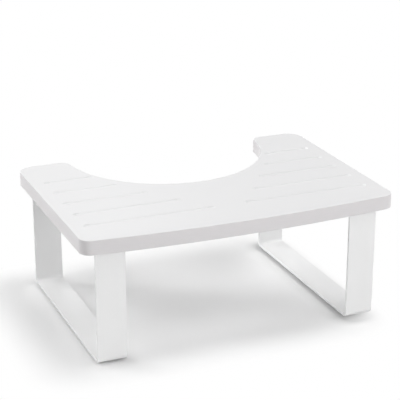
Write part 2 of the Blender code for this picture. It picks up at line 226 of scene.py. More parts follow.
class StageSettings(bpy.types.PropertyGroup):
    """Floor, lamps, surroundings and camera."""

    floor_radius: length("Floor Radius", "Radius of the round floor", 8.0)
    floor_drop: length("Floor Drop", "How far the floor lies under the pads", 0.0001)
    floor_colour: colour("Floor Colour", "Pale floor", (0.86, 0.86, 0.86))
    floor_seen_colour: colour(
        "Floor Seen Colour", "Pale floor where the camera looks at it", (0.94, 0.94, 0.94))
    shadow_middle: place(
        "Shadow Middle", "Middle of the field where the floor keeps its shadow", (-0.038, 0.012, 0.0))
    shadow_half: place("Shadow Half", "Half the sides of that field", (0.18, 0.13, 1.0))
    shadow_keep: length("Shadow Keep", "How far beyond the field all the shadow stays", 0.005)
    shadow_fade: length("Shadow Fade", "How far beyond the field the floor is plain white", 0.085)
    # Painted shade: the floor's seen colour is darkened close to the pieces, more on the right than on the
    # left
    contact_reach: length("Contact Reach", "How close to a piece the floor is shaded by it", 0.025)
    contact_open: share("Contact Open", "Share of open air at which that shade is full", 0.80)
    contact_shade: share("Contact Shade", "What a full shade leaves of the floor's colour", 0.62)
    contact_left: share("Contact Left", "Strength of that shade on the left; the right has 1", 0.15)
    contact_side: length("Contact Side", "How far from the middle left and right lie for it", 0.18)
    sky_light: share("Sky Light", "Strength of the even light from all round", 0.0)
    lamp_size: length("Lamp Size", "Side of each soft lamp", 1.8)
    low_front_place: place("Low Front Place", "Middle of the low lamp at the front", (0.000, -2.511, 0.923))
    low_front_power: power("Low Front Power", "Power of the low lamp at the front", 25.9)
    low_back_place: place(
        "Low Back Place", "Middle of the low far lamp at the left back", (-2.869, 2.869, 1.237))
    low_back_power: power("Low Back Power", "Power of the low far lamp at the left back", 100.0)
    right_front_place: place(
        "Right Front Place", "Middle of the lamp at the right front", (1.408, -1.408, 1.921))
    right_front_power: power("Right Front Power", "Power of the lamp at the right front", 25.4)
    back_place: place("Back Place", "Middle of the lamp at the back", (0.000, 1.992, 1.921))
    back_power: power("Back Power", "Power of the lamp at the back", 15.2)
    high_right_place: place(
        "High Right Place", "Middle of the high far lamp on the right", (2.100, 0.000, 3.787))
    high_right_power: power("High Right Power", "Power of the high far lamp on the right", 31.3)
    high_left_place: place(
        "High Left Place", "Middle of the high far lamp on the left", (-2.100, 0.000, 3.787))
    high_left_power: power("High Left Power", "Power of the high far lamp on the left", 44.0)
    camera_place: place("Camera Place", "Where the camera stands", (-0.66203, -1.56834, 0.78816))
    camera_turn: angle("Camera Turn", "How far the camera is turned to the right", 22.783)
    camera_tilt: angle("Camera Tilt", "How far the camera looks down", 20.439)
    camera_lens: FloatProperty(
        name="Camera Lens", description="Focal length of the camera", default=118.474, unit="CAMERA")


class Skin:
    """Points, faces and face-corner normals of a mesh while it is being made."""

    def __init__(self):
        self.points = []
        self.faces = []
        self.normals = []

    def ring(self, points):
        """Add points and return their numbers."""
        start = len(self.points)
        self.points += [Vector(point) for point in points]
        return list(range(start, len(self.points)))

    def face(self, corners, normals):
        """Add a face, turned over where its corners run the wrong way round for its normals."""
        facing = normal([self.points[corner] for corner in corners])
        if facing.dot(sum(normals, Vector((0, 0, 0)))) < 0:
            corners, normals = corners[::-1], normals[::-1]
        self.faces.append(corners)
        self.normals += normals

    def strip(self, first, second, first_normals, second_normals, skipped=()):
        """Add the faces between two closed rings of as many points."""
        count = len(first)
        for here in range(count):
            if here in skipped:
                continue
            after = (here + 1) % count
            self.face(
                [first[here], first[after], second[after], second[here]],
                [first_normals[here], first_normals[after], second_normals[after], second_normals[here]])

    def stack(self, rings):
        """Add a row of rings, each given as its points and normals, and return the first and last ring."""
        numbered = [(self.ring(points), normals) for points, normals in rings]
        for (first, first_normals), (second, second_normals) in zip(numbered, numbered[1:]):
            self.strip(first, second, first_normals, second_normals)
        return numbered[0][0], numbered[-1][0]

    def cap(self, loops, facing):
        """Fill a level outline, given as its points' numbers, and leave open the holes that follow it."""
        numbers = [number for loop in loops for number in loop]
        flat = [self.points[number].to_2d() for number in numbers]
        outlines = []
        start = 0
        for loop in loops:
            outlines.append(list(range(start, start + len(loop))))
            start += len(loop)
        found = delaunay_2d_cdt(flat, [], outlines, TRIANGLES_WITH_HOLES, WELD_DISTANCE)
        triangles, sources = found[2], found[3]
        for triangle in triangles:
            self.face([numbers[sources[corner][0]] for corner in triangle], [facing] * len(triangle))

    def mesh(self, name):
        """Return the finished mesh."""
        made = bpy.data.meshes.new(name)
        made.from_pydata(self.points, [], self.faces)
        made.shade_smooth()
        made.normals_split_custom_set(self.normals)
        made.update()
        return made


def new_piece(name, mesh, material, node, location=(0, 0, 0)):
    """Put a mesh in the scene in place of a CAD node, riding on the frame."""
    piece = bpy.data.objects.new(name, mesh)
    piece.location = location
    bpy.context.scene.collection.objects.link(piece)
    if not mesh.materials:
        mesh.materials.append(material)
    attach(piece, BODY)
    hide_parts(node)
    return piece


def middle_of(node):
    """Middle of a CAD node's box."""
    low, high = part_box(node)
    return (low + high) / 2


def arc(centre, radius, start, end, steps):
    """Points of a circular arc with the directions away from its centre, both ends included."""
    points = []
    for step in range(steps + 1):
        turn = start + (end - start) * step / steps
        across, along = math.cos(turn), math.sin(turn)
        points.append((centre[0] + radius * across, centre[1] + radius * along, across, along))
    return points


def rounded_rectangle(width, height, centre, radius, steps):
    """Points of a rectangle with round corners and their outward directions, anticlockwise."""
    across = width / 2 - radius
    up = height / 2 - radius
    points = []
    for quarter, (x, y) in enumerate(((across, up), (-across, up), (-across, -up), (across, -up))):
        start = quarter * math.pi / 2
        points += arc((centre[0] + x, centre[1] + y), radius, start, start + math.pi / 2, steps)
    return points


def circle(centre, radius, height, sides):
    """Points of a level circle."""
    points = arc(centre, radius, 0, 2 * math.pi, sides)[:-1]
    return [(x, y, height) for x, y, *_ in points]


def drill(skin, centre, radius, mouth_height, end_height):
    """Wall of an upright hole; returns the rings of its mouth and of its end."""
    mouth = skin.ring(circle(centre, radius, mouth_height, HOLE_SIDES))
    end = skin.ring(circle(centre, radius, end_height, HOLE_SIDES))
    inward = [Vector((-x, -y, 0)) for x, y, _ in circle((0, 0), 1, 0, HOLE_SIDES)]
    skin.strip(mouth, end, inward, inward)
    return mouth, end


class BoardPlan:
    """Outline of the board, worked out from its box and its settings."""

    def __init__(self, settings):
        low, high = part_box("footboard")
        self.settings = settings
        self.half_width = (high.x - low.x) / 2
        self.front = low.y
        self.back = high.y
        self.bottom = low.z
        self.top = high.z
        self.cutout_half_width = self.half_width - settings.prong_width
        self.corner_line = self.front + settings.front_bow

    def cutout_normal(self, turn):
        """Unit normal of the cut-out's ellipse, pointing into the board."""
        across = math.cos(turn) / self.cutout_half_width
        along = -math.sin(turn) / self.settings.cutout_depth
        size = math.hypot(across, along)
        return across / size, along / size

    def cutout_point(self, turn):
        """Point of the cut-out's ellipse, whose middle lies on the back edge."""
        depth = self.settings.cutout_depth * math.sin(turn)
        return self.cutout_half_width * math.cos(turn), self.back - depth

    def cutout_half_width_at(self, y):
        """Half the width of the cut-out at a place along the depth of the board."""
        part = (self.back - y) / self.settings.cutout_depth
        if part >= 1:
            return 0.0
        return self.cutout_half_width * math.sqrt(1 - part * part)

    def tip_turn(self):
        """Where on the ellipse the rounding of a prong's tip touches the cut-out."""
        radius = self.settings.prong_tip
        low, high = 0.0, math.pi / 2
        for _ in range(SOLVER_STEPS):
            middle = (low + high) / 2
            centre = self.cutout_point(middle)[1] + radius * self.cutout_normal(middle)[1]
            if centre > self.back - radius:
                low = middle
            else:
                high = middle
        return low

    def outline(self):
        """Points and outward directions, anticlockwise from the middle of the front edge."""
        bow = self.settings.front_bow
        corner_radius = self.settings.front_corner
        bow_radius = (self.half_width ** 2 + bow ** 2) / (2 * bow)
        bow_centre = (0, self.front + bow_radius)
        corner_x = self.half_width - corner_radius
        corner_drop = math.sqrt((bow_radius - corner_radius) ** 2 - corner_x ** 2)
        corner = (corner_x, bow_centre[1] - corner_drop)
        bow_end = math.atan2(corner_x, corner_drop) - math.pi / 2
        front = arc(bow_centre, bow_radius, -math.pi / 2, bow_end, BOW_STEPS)
        front_corner = arc(corner, corner_radius, bow_end, 0, CORNER_STEPS)

        back_radius = self.settings.back_corner
        back_centre = (self.half_width - back_radius, self.back - back_radius)
        back_corner = arc(back_centre, back_radius, 0, math.pi / 2, CORNER_STEPS)

        touch = self.tip_turn()
        inward = self.cutout_normal(touch)
        tip_radius = self.settings.prong_tip
        tip_centre = tuple(at + tip_radius * part for at, part in zip(self.cutout_point(touch), inward))
        tip_end = math.atan2(-inward[1], -inward[0])
        tip = arc(tip_centre, tip_radius, math.pi / 2, tip_end, TIP_STEPS)
        cutout = []
        for step in range(1, CUTOUT_STEPS + 1):
            turn = touch + (math.pi / 2 - touch) * step / CUTOUT_STEPS
            across, along = self.cutout_normal(turn)
            cutout.append((*self.cutout_point(turn), -across, -along))

        right = front + front_corner[1:] + back_corner + tip + cutout
        left = [(-x, y, -across, along) for x, y, across, along in reversed(right[1:-1])]
        return right + left


def edge_rings(outline, height, radius, side, steps):
    """Rings of a plate's rounded edge, from wall to face, at its top (side 1) or bottom (side -1)."""
    rings = []
    for step in range(steps + 1):
        turn = math.pi / 2 * step / steps
        inset = radius * (1 - math.cos(turn))
        level = height - side * radius * (1 - math.sin(turn))
        points = [(x - inset * across, y - inset * along, level) for x, y, across, along in outline]
        normals = [
            Vector((across * math.cos(turn), along * math.cos(turn), side * math.sin(turn)))
            for _, _, across, along in outline]
        rings.append((points, normals))
    return rings


def groove_levels(nose, depth, rim, top):
    """Radius, height and tilt of the rings from the softened rim down into a round-nosed cut."""
    above = nose - depth
    reach = math.sqrt((nose + rim) ** 2 - (above + rim) ** 2)
    lean = math.asin(reach / (nose + rim))
    levels = []
    for step in range(GROOVE_RIM_STEPS + 1):
        tilt = lean * step / GROOVE_RIM_STEPS
        levels.append((reach - rim * math.sin(tilt), top - rim * (1 - math.cos(tilt)), tilt))
    for step in range(1, GROOVE_WALL_STEPS):
        tilt = lean * (1 - step / GROOVE_WALL_STEPS)
        levels.append((nose * math.sin(tilt), top + above - nose * math.cos(tilt), tilt))
    return levels


def slot_ring(ends, y, overlap, seam, end_level, slot_level):
    """Ring of a slot with wider and deeper round ends, and its normals, which lean inwards."""
    radius, height, tilt = end_level
    half, slot_height, lean = slot_level
    points, normals = [], []
    for end, start, side in ((ends[1], -math.pi / 2, 1), (ends[0], math.pi / 2, -1)):
        for x, along, dx, dy in arc(
                (end, y), radius, start - overlap, start + math.pi + overlap, GROOVE_END_STEPS):
            points.append((x, along, height))
            normals.append(Vector((-dx * math.sin(tilt), -dy * math.sin(tilt), math.cos(tilt))))
        for x in (ends[1] - seam, ends[0] + seam)[::side]:
            points.append((x, y + side * half, slot_height))
            normals.append(Vector((0, -side * math.sin(lean), math.cos(lean))))
    return points, normals


def make_groove(skin, settings, ends, y, top):
    """Round-nosed groove with deeper ends and a softened rim; returns the ring of its rim."""
    half = settings.groove_width / 2
    depth, end_depth = settings.groove_depth, settings.groove_end_depth
    rim = settings.groove_rim
    nose = (half ** 2 + depth ** 2) / (2 * depth)
    ends = (ends[0] + half, ends[1] - half)

    at_ends = groove_levels(nose, end_depth, rim, top)
    between = groove_levels(nose, depth, rim, top)
    wide, narrow = at_ends[0][0], between[0][0]
    overlap = math.acos(narrow / wide)
    seam = wide * math.sin(overlap) + rim
    rings = [slot_ring(ends, y, overlap, seam, *levels) for levels in zip(at_ends, between)]
    first, last = skin.stack(rings)
    last_normals = rings[-1][1]

    right, right_seam, left_seam, left = skin.ring([
        (ends[1], y, top - end_depth), (ends[1] - seam, y, top - depth),
        (ends[0] + seam, y, top - depth), (ends[0], y, top - end_depth)])
    turn = GROOVE_END_STEPS + 1
    floor = [right] * turn + [right_seam, left_seam] + [left] * turn + [left_seam, right_seam]
    for here, below in enumerate(floor):
        after = (here + 1) % len(floor)
        corners = [last[here], last[after], floor[after]]
        normals = [last_normals[here], last_normals[after], UP]
        if below != floor[after]:
            corners.append(below)
            normals.append(UP)
        skin.face(corners, normals)
    return first


def board_mesh(settings):
    """Board with rounded edges, softened grooves and the blind holes for the inserts."""
    plan = BoardPlan(settings)
    outline = plan.outline()
    skin = Skin()
    below = edge_rings(outline, plan.bottom, settings.bottom_edge, -1, BOTTOM_EDGE_STEPS)
    above = edge_rings(outline, plan.top, settings.top_edge, 1, TOP_EDGE_STEPS)
    bottom, top = skin.stack(below[::-1] + above)

    rims = []
    outer = plan.half_width - settings.groove_side
    first = plan.corner_line + settings.first_groove
    last = plan.back - settings.last_groove
    pitch = (last - first) / (len(GROOVE_INNER_END_SHARES) - 1)
    for row, part in enumerate(GROOVE_INNER_END_SHARES):
        y = first + row * pitch
        inner = max(part * plan.half_width, plan.cutout_half_width_at(y) + settings.groove_margin)
        for ends in ((-outer, -inner), (inner, outer)):
            rims.append(make_groove(skin, settings, ends, y, plan.top))
    skin.cap([top] + rims, UP)

    mouths = []
    for node in [f"{side}_insert_{where}" for side in SIDES for where in BOLT_PLACES]:
        low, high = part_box(node)
        gap = settings.insert_gap
        mouth, end = drill(
            skin, middle_of(node), (high.x - low.x) / 2 + gap, plan.bottom, high.z + gap)
        skin.cap([end], DOWN)
        mouths.append(mouth)
    skin.cap([bottom] + mouths, DOWN)
    return skin.mesh("footboard_lacquered")


def loop_mesh(settings, side):
    """Flat bar bent to a closed rectangle, with four bolt holes in its top."""
    low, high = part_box(side + "_leg_loop")
    thick = settings.thickness
    middle = ((low.y + high.y) / 2, (low.z + high.z) / 2)
    bend = settings.inner_bend + thick / 2
    path = rounded_rectangle(
        high.y - low.y - thick, high.z - low.z - thick, middle, bend, BEND_STEPS)
    section = rounded_rectangle(thick, high.x - low.x, (0, 0), settings.edge, BAR_EDGE_STEPS)
    centre_x = (low.x + high.x) / 2

    skin = Skin()
    rings = []
    for y, z, along, up in path:
        points = [(centre_x + b, y + a * along, z + a * up) for a, b, _, _ in section]
        normals = [Vector((nb, na * along, na * up)) for _, _, na, nb in section]
        rings.append((skin.ring(points), normals))

    quarter = BAR_EDGE_STEPS + 1
    inner_flat, outer_flat = 2 * quarter - 1, 4 * quarter - 1
    for here, (ring, normals) in enumerate(rings):
        after, after_normals = rings[(here + 1) % len(rings)]
        skipped = (inner_flat, outer_flat) if here == BEND_STEPS else ()
        skin.strip(ring, after, normals, after_normals, skipped)

    back, front = rings[BEND_STEPS][0], rings[BEND_STEPS + 1][0]
    bolts = [middle_of(f"{side}_bolt_{where}") for where in BOLT_PLACES]
    holes = [drill(skin, bolt, settings.hole / 2, high.z, high.z - thick) for bolt in bolts]
    for flat, facing, rims in zip((outer_flat, inner_flat), (UP, DOWN), zip(*holes)):
        after = (flat + 1) % len(section)
        skin.cap([[back[flat], back[after], front[after], front[flat]], *rims], facing)
    return skin.mesh(side + "_leg_loop_coated")


def turned_ring(skin, radius, height):
    """Ring of a turned piece, or its one point on the axis."""
    return skin.ring(circle((0, 0), radius, height, TURNED_SIDES) if radius else [(0, 0, height)])


def lathe(skin, profile, smooth_angle):
    """Turn a profile about the Z axis; it runs from the top of the piece down its outer side.

    Corners of the profile flatter than the smooth angle are shaded as one curve. A profile that comes back
    to its first point is closed.
    """
    slopes = [
        Vector((z0 - z1, r1 - r0)).normalized() for (r0, z0), (r1, z1) in zip(profile, profile[1:])]
    directions = [Vector((x, y, 0)) for x, y, _ in circle((0, 0), 1, 0, TURNED_SIDES)]
    rings = [turned_ring(skin, radius, height) for radius, height in profile[:-1]]
    rings.append(rings[0] if profile[-1] == profile[0] else turned_ring(skin, *profile[-1]))
    for step, slope in enumerate(slopes):
        ends = []
        for neighbour in (step - 1, step + 1):
            joined = 0 <= neighbour < len(slopes) and slope.angle(slopes[neighbour]) < smooth_angle
            blend = (slope + slopes[neighbour]).normalized() if joined else slope
            ends.append([direction * blend.x + UP * blend.y for direction in directions])
        first, second = rings[step], rings[step + 1]
        if len(first) > 1 and len(second) > 1:
            skin.strip(first, second, ends[0], ends[1])
        else:
            pointed = len(first) == 1
            ring, tip, normals = (second, first[0], ends[1]) if pointed else (first, second[0], ends[0])
            for here in range(TURNED_SIDES):
                after = (here + 1) % TURNED_SIDES
                middle = UP * math.copysign(1, slope.y)
                skin.face([tip, ring[here], ring[after]], [middle, normals[here], normals[after]])
    return rings


def bolt_mesh(settings, node):
    """Button head bolt standing on its head, with a hexagon socket; its seat is at the origin."""
    low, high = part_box(node)
    shank = (high.x - low.x) / 2 - settings.head_overhang
    head = shank + settings.head_overhang
    tip = high.z - low.z - settings.head_height
    socket = settings.socket_width / math.sqrt(3)
    flat = socket + settings.socket_border
    dome = settings.head_height - settings.head_rim
    profile = [(0, tip), (shank - settings.tip_chamfer, tip), (shank, tip - settings.tip_chamfer),
               (shank, 0), (head, 0)]
    for step in range(DOME_STEPS + 1):
        turn = math.pi / 2 * step / DOME_STEPS
        profile.append((flat + (head - flat) * math.cos(turn), -settings.head_rim - dome * math.sin(turn)))
    skin = Skin()
    face = lathe(skin, profile, HEAD_SMOOTH_ANGLE)[-1]

    mouth = skin.ring(circle((0, 0), socket, -settings.head_height, HEX_SIDES))
    floor = skin.ring(circle((0, 0), socket, settings.socket_depth - settings.head_height, HEX_SIDES))
    for here in range(HEX_SIDES):
        after = (here + 1) % HEX_SIDES
        inward = -(skin.points[mouth[here]] + skin.points[mouth[after]]).to_2d().normalized().to_3d()
        skin.face([mouth[here], mouth[after], floor[after], floor[here]], [inward] * 4)
    skin.cap([face, mouth], DOWN)
    skin.cap([floor], DOWN)
    return skin.mesh("bolt_plated")


def rounded_profile(outer, top, bottom, radius, inner=0.0):
    """Profile of a flat disc or ring whose outer edges are rounded, from the top down."""
    upper = arc((outer - radius, top - radius), radius, math.pi / 2, 0, SMALL_EDGE_STEPS)
    lower = arc((outer - radius, bottom + radius), radius, 0, -math.pi / 2, SMALL_EDGE_STEPS)
    return [(inner, top)] + [(r, z) for r, z, _, _ in upper + lower] + [(inner, bottom)]


def washer_mesh(settings, node):
    """Flat washer with the middle of its top face at the origin."""
    low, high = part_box(node)
    outer = (high.x - low.x) / 2
    inner = outer - settings.washer_ring
    skin = Skin()
    profile = rounded_profile(outer, 0, low.z - high.z, settings.washer_edge, inner)
    lathe(skin, profile + [(inner, 0)], DISC_SMOOTH_ANGLE)
    return skin.mesh("washer_plated")


def pad_mesh(settings, node):
    """Round pad with the middle of its underside at the origin."""
    low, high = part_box(node)
    skin = Skin()
    profile = rounded_profile((high.x - low.x) / 2, high.z - low.z, 0, settings.edge)
    lathe(skin, profile, DISC_SMOOTH_ANGLE)
    return skin.mesh("pad_rubber")


def add_node(tree, kind, inputs=None, **choices):
    """Add a node; an input is given as a value or as the output that feeds it."""
    made = tree.nodes.new(kind)
    for name, value in choices.items():
        setattr(made, name, value)
    for name, value in (inputs or {}).items():
        if isinstance(value, bpy.types.NodeSocket):
            tree.links.new(value, made.inputs[name])
        else:
            made.inputs[name].default_value = value
    return made


def noise(tree, scale, detail, stretch=(1, 1, 1), roughness=0.5):
    """Output of a noise in the piece's own coordinates, with about scale spots to a metre."""
    where = add_node(tree, "ShaderNodeTexCoord")
    sized = add_node(
        tree, "ShaderNodeMapping", {"Vector": where.outputs["Object"], "Scale": stretch})
    return add_node(
        tree, "ShaderNodeTexNoise",
        {"Vector": sized.outputs["Vector"], "Scale": scale, "Detail": detail, "Roughness": roughness},
    ).outputs["Fac"]


def spread(tree, value, low, high, start=0.3, end=0.7):
    """Map a noise to a range of numbers."""
    return add_node(
        tree, "ShaderNodeMapRange",
        {"Value": value, "From Min": start, "From Max": end, "To Min": low, "To Max": high},
    ).outputs["Result"]


def blend_colours(tree, factor, first, second):
    """Mix two colours, each given as a value or an output."""
    mix = tree.nodes.new("ShaderNodeMix")
    mix.data_type = "RGBA"
    sockets = [socket for socket in mix.inputs if socket.enabled]
    for socket, value in zip(sockets, (factor, first, second)):
        if isinstance(value, bpy.types.NodeSocket):
            tree.links.new(value, socket)
        else:
            socket.default_value = value
    return next(socket for socket in mix.outputs if socket.enabled)


def bump(tree, height, strength, distance, before=None):
    """Raise a surface by a height map."""
    inputs = {"Height": height, "Strength": strength, "Distance": distance}
    if before:
        inputs["Normal"] = before
    return add_node(tree, "ShaderNodeBump", inputs).outputs["Normal"]


def finish(name, base, **values):
    """New material with constants on its Principled shader; returns it, its tree and the shader."""
    material = bpy.data.materials.new(name)
    material.use_nodes = True
    material.diffuse_color = (*base, 1.0)
    tree = material.node_tree
    shader = tree.nodes["Principled BSDF"]
    for socket, value in values.items():
        shader.inputs[socket.replace("_", " ")].default_value = value
    return material, tree, shader


def shaded(base, factor):
    """A colour made darker or lighter by a factor, with full alpha."""
    return (*[min(1.0, part * factor) for part in base], 1.0)


def shades(tree, factor, base, first, last=1.0):
    """Colour that goes from one shade of a base colour to another as the factor rises."""
    return blend_colours(tree, factor, shaded(base, first), shaded(base, last))


def lacquer(settings):
    """Satin white lacquer sprayed on fibreboard, darker on the upright edges: partly the lacquer's own warmer
    tone there, partly painted shade of the sides.
    """
    material, tree, shader = finish("white_lacquer_satin", settings.face_colour)
    clouds = noise(tree, scale=9, detail=3)
    fibres = noise(tree, scale=55, detail=4, stretch=(1, 14, 14), roughness=0.6)
    peel = noise(tree, scale=620, detail=2)
    nibs = noise(tree, scale=2600, detail=1)

    face = shades(tree, spread(tree, clouds, 0, 1), settings.face_colour, first=0.985)
    face = blend_colours(tree, spread(tree, fibres, 0, 0.6), face, shaded(settings.face_colour, 0.978))
    # Upright faces take the darker edge colour: partly the lacquer's warmer tone, partly painted shade of the
    # sides
    edge = shades(tree, spread(tree, fibres, 0, 1), settings.edge_colour_and_shade, first=0.975)
    where = add_node(tree, "ShaderNodeTexCoord")
    upward = add_node(tree, "ShaderNodeSeparateXYZ", {"Vector": where.outputs["Normal"]}).outputs["Z"]
    level = add_node(tree, "ShaderNodeMath", {0: upward}, operation="ABSOLUTE").outputs["Value"]
    coat = blend_colours(tree, spread(tree, level, 0, 1, start=0.25, end=0.85), edge, face)
    tree.links.new(coat, shader.inputs["Base Color"])

    rough = settings.roughness
    tree.links.new(spread(tree, clouds, rough - 0.04, rough + 0.05), shader.inputs["Roughness"])
    surface = bump(tree, peel, strength=0.16, distance=0.00012)
    surface = bump(tree, fibres, strength=0.10, distance=0.00008, before=surface)
    surface = bump(tree, nibs, strength=0.08, distance=0.00003, before=surface)
    tree.links.new(surface, shader.inputs["Normal"])
    return material


def powder_coat(settings):
    """Fine white powder coat baked on steel."""
    material, tree, shader = finish("white_powder_coat_fine", settings.coat_colour)
    clouds = noise(tree, scale=14, detail=2)
    grain = noise(tree, scale=1500, detail=3, roughness=0.6)
    waves = noise(tree, scale=260, detail=2)
    coat = shades(tree, spread(tree, grain, 0, 1), settings.coat_colour, first=0.965)
    coat = blend_colours(tree, spread(tree, clouds, 0, 0.5), coat, shaded(settings.coat_colour, 0.975))
    tree.links.new(coat, shader.inputs["Base Color"])
    rough = settings.roughness
    tree.links.new(spread(tree, grain, rough - 0.06, rough + 0.06), shader.inputs["Roughness"])
    surface = bump(tree, waves, strength=0.15, distance=0.00015)
    surface = bump(tree, grain, strength=0.35, distance=0.00008, before=surface)
    tree.links.new(surface, shader.inputs["Normal"])
    return material


def zinc_plate(settings):
    """Bright zinc plate with fine turning marks round the piece's axis."""
    material, tree, shader = finish("zinc_plate_bright", settings.zinc_colour, Metallic=1.0)
    stains = noise(tree, scale=320, detail=3)
    grain = noise(tree, scale=5200, detail=2)
    blue, yellow = (0.60, 0.63, 0.68), (0.66, 0.64, 0.58)
    tint_share = 0.35
    tint = blend_colours(tree, spread(tree, stains, 0, 1), (*blue, 1.0), (*yellow, 1.0))
    coat = blend_colours(tree, tint_share, shaded(settings.zinc_colour, 1.0), tint)
    tree.links.new(coat, shader.inputs["Base Color"])
    rough = settings.zinc_roughness
    tree.links.new(spread(tree, stains, rough - 0.07, rough + 0.09), shader.inputs["Roughness"])
    where = add_node(tree, "ShaderNodeTexCoord")
    rings = add_node(
        tree, "ShaderNodeTexWave", {"Vector": where.outputs["Object"], "Scale": 900.0, "Distortion": 0.6},
        wave_type="RINGS", rings_direction="Z").outputs["Fac"]
    surface = bump(tree, rings, strength=0.12, distance=0.00002)
    surface = bump(tree, grain, strength=0.15, distance=0.00002, before=surface)
    tree.links.new(surface, shader.inputs["Normal"])
    return material


def turned_brass(settings):
    """Turned brass of the threaded inserts."""
    material, tree, shader = finish("insert_brass_turned", settings.brass_colour, Metallic=1.0)
    stains = noise(tree, scale=260, detail=3)
    marks = noise(tree, scale=300, detail=2, stretch=(1, 1, 40))
    coat = shades(tree, spread(tree, stains, 0, 1), settings.brass_colour, first=0.86, last=1.04)
    tree.links.new(coat, shader.inputs["Base Color"])
    rough = settings.brass_roughness
    tree.links.new(spread(tree, stains, rough - 0.08, rough + 0.10), shader.inputs["Roughness"])
    tree.links.new(bump(tree, marks, strength=0.2, distance=0.00003), shader.inputs["Normal"])
    return material


def rubber(settings):
    """Matt grey rubber with a fine moulded grain."""
    material, tree, shader = finish("grey_rubber_matt", settings.rubber_colour, Specular_IOR_Level=0.3)
    clouds = noise(tree, scale=140, detail=3)
    grain = noise(tree, scale=2400, detail=3, roughness=0.65)
    coat = shades(tree, spread(tree, clouds, 0, 1), settings.rubber_colour, first=0.86, last=1.08)
    tree.links.new(coat, shader.inputs["Base Color"])
    rough = settings.roughness
    tree.links.new(spread(tree, grain, rough - 0.08, rough + 0.08), shader.inputs["Roughness"])
    tree.links.new(bump(tree, grain, strength=0.5, distance=0.00012), shader.inputs["Normal"])
    return material


def aim(thing, target):
    """Turn a lamp towards a point."""
    thing.rotation_euler = (Vector(target) - thing.location).to_track_quat("-Z", "Y").to_euler()


def add_lamp(name, location, size, watts, target, mirrored):
    """Square soft lamp that the camera doesn't see, nor any gloss unless it is mirrored."""
    light = bpy.data.lights.new(name, "AREA")
    light.shape = "SQUARE"
    light.size = size
    light.energy = watts
    lamp = bpy.data.objects.new(name, light)
    lamp.location = location
    bpy.context.scene.collection.objects.link(lamp)
    aim(lamp, target)
    lamp.visible_camera = False
    lamp.visible_glossy = mirrored
    return lamp


def looked_at(tree):
    """Output that is 1 for rays that show the surroundings: straight, mirrored or seen through glass."""
    path = add_node(tree, "ShaderNodeLightPath")
    either = add_node(
        tree, "ShaderNodeMath",
        {0: path.outputs["Is Camera Ray"], 1: path.outputs["Is Glossy Ray"]}, operation="MAXIMUM")
    return add_node(
        tree, "ShaderNodeMath",
        {0: either.outputs["Value"], 1: path.outputs["Is Transmission Ray"]}, operation="MAXIMUM",
    ).outputs["Value"]


def painted_contact_shade(tree, settings, spot):
    """Share of painted contact shade: rises to 1 on the floor close to a piece, and less far towards the
    left.
    """
    clear = add_node(
        tree, "ShaderNodeAmbientOcclusion", {"Distance": settings.contact_reach},
        samples=CONTACT_RAYS).outputs["AO"]
    close = spread(tree, clear, 1, 0, settings.contact_open, 1)
    across = add_node(tree, "ShaderNodeSeparateXYZ", {"Vector": spot}).outputs["X"]
    side = settings.contact_side
    strength = spread(tree, across, settings.contact_left, 1, -side, side)
    return add_node(
        tree, "ShaderNodeMath", {0: close, 1: strength}, operation="MULTIPLY").outputs["Value"]


def add_floor(settings):
    """Round pale floor that keeps the shadow, has shade painted close to the pieces, fades to white, and lets
    a camera under it look up.
    """
    material = bpy.data.materials.new("floor_pale")
    material.use_nodes = True
    tree = material.node_tree
    tree.nodes.clear()
    seen = looked_at(tree)
    spot = add_node(tree, "ShaderNodeTexCoord").outputs["Object"]
    # Painted contact shade darkens the floor's seen colour near the pieces
    shown = shades(
        tree, painted_contact_shade(tree, settings, spot), settings.floor_seen_colour, 1.0, settings.contact_shade)
    tone = blend_colours(tree, seen, (*settings.floor_colour, 1.0), shown)
    near = add_node(tree, "ShaderNodeBsdfDiffuse", {"Color": tone}).outputs["BSDF"]

    for operation, operand in (
            ("SUBTRACT", settings.shadow_middle), ("ABSOLUTE", None),
            ("SUBTRACT", settings.shadow_half), ("MAXIMUM", (0, 0, 0))):
        operands = {0: spot} if operand is None else {0: spot, 1: operand}
        spot = add_node(tree, "ShaderNodeVectorMath", operands, operation=operation).outputs["Vector"]
    away = add_node(tree, "ShaderNodeVectorMath", {0: spot}, operation="LENGTH").outputs["Value"]
    fade = add_node(
        tree, "ShaderNodeMapRange",
        {"Value": away, "From Min": settings.shadow_keep, "From Max": settings.shadow_fade},
        interpolation_type="SMOOTHSTEP").outputs["Result"]
    fade = add_node(tree, "ShaderNodeMath", {0: fade, 1: seen}, operation="MULTIPLY").outputs["Value"]
    far = add_node(tree, "ShaderNodeEmission", {"Color": WHITE, "Strength": 1.0}).outputs["Emission"]
    front = add_node(tree, "ShaderNodeMixShader", {0: fade, 1: near, 2: far}).outputs["Shader"]
    clear = add_node(tree, "ShaderNodeBsdfTransparent", {"Color": WHITE}).outputs["BSDF"]
    under = add_node(tree, "ShaderNodeNewGeometry").outputs["Backfacing"]
    both = add_node(tree, "ShaderNodeMixShader", {0: under, 1: front, 2: clear}).outputs["Shader"]
    add_node(tree, "ShaderNodeOutputMaterial", {"Surface": both})

    skin = Skin()
    rim = skin.ring(circle((0, 0), settings.floor_radius, -settings.floor_drop, TURNED_SIDES))
    skin.face(rim, [UP] * len(rim))
    mesh = skin.mesh("floor")
    mesh.materials.append(material)
    floor = bpy.data.objects.new("floor", mesh)
    bpy.context.scene.collection.objects.link(floor)


def light_surroundings(settings):
    """White surroundings to the eye, and an even soft light on everything else."""
    world = bpy.data.worlds.new("studio")
    bpy.context.scene.world = world
    world.use_nodes = True
    tree = world.node_tree
    tree.nodes.clear()
    light = add_node(
        tree, "ShaderNodeBackground", {"Color": WHITE, "Strength": settings.sky_light}).outputs["Background"]
    seen = add_node(tree, "ShaderNodeBackground", {"Color": WHITE, "Strength": 1.0}).outputs["Background"]
    both = add_node(tree, "ShaderNodeMixShader", {0: looked_at(tree), 1: light, 2: seen}).outputs["Shader"]
    add_node(tree, "ShaderNodeOutputWorld", {"Surface": both})


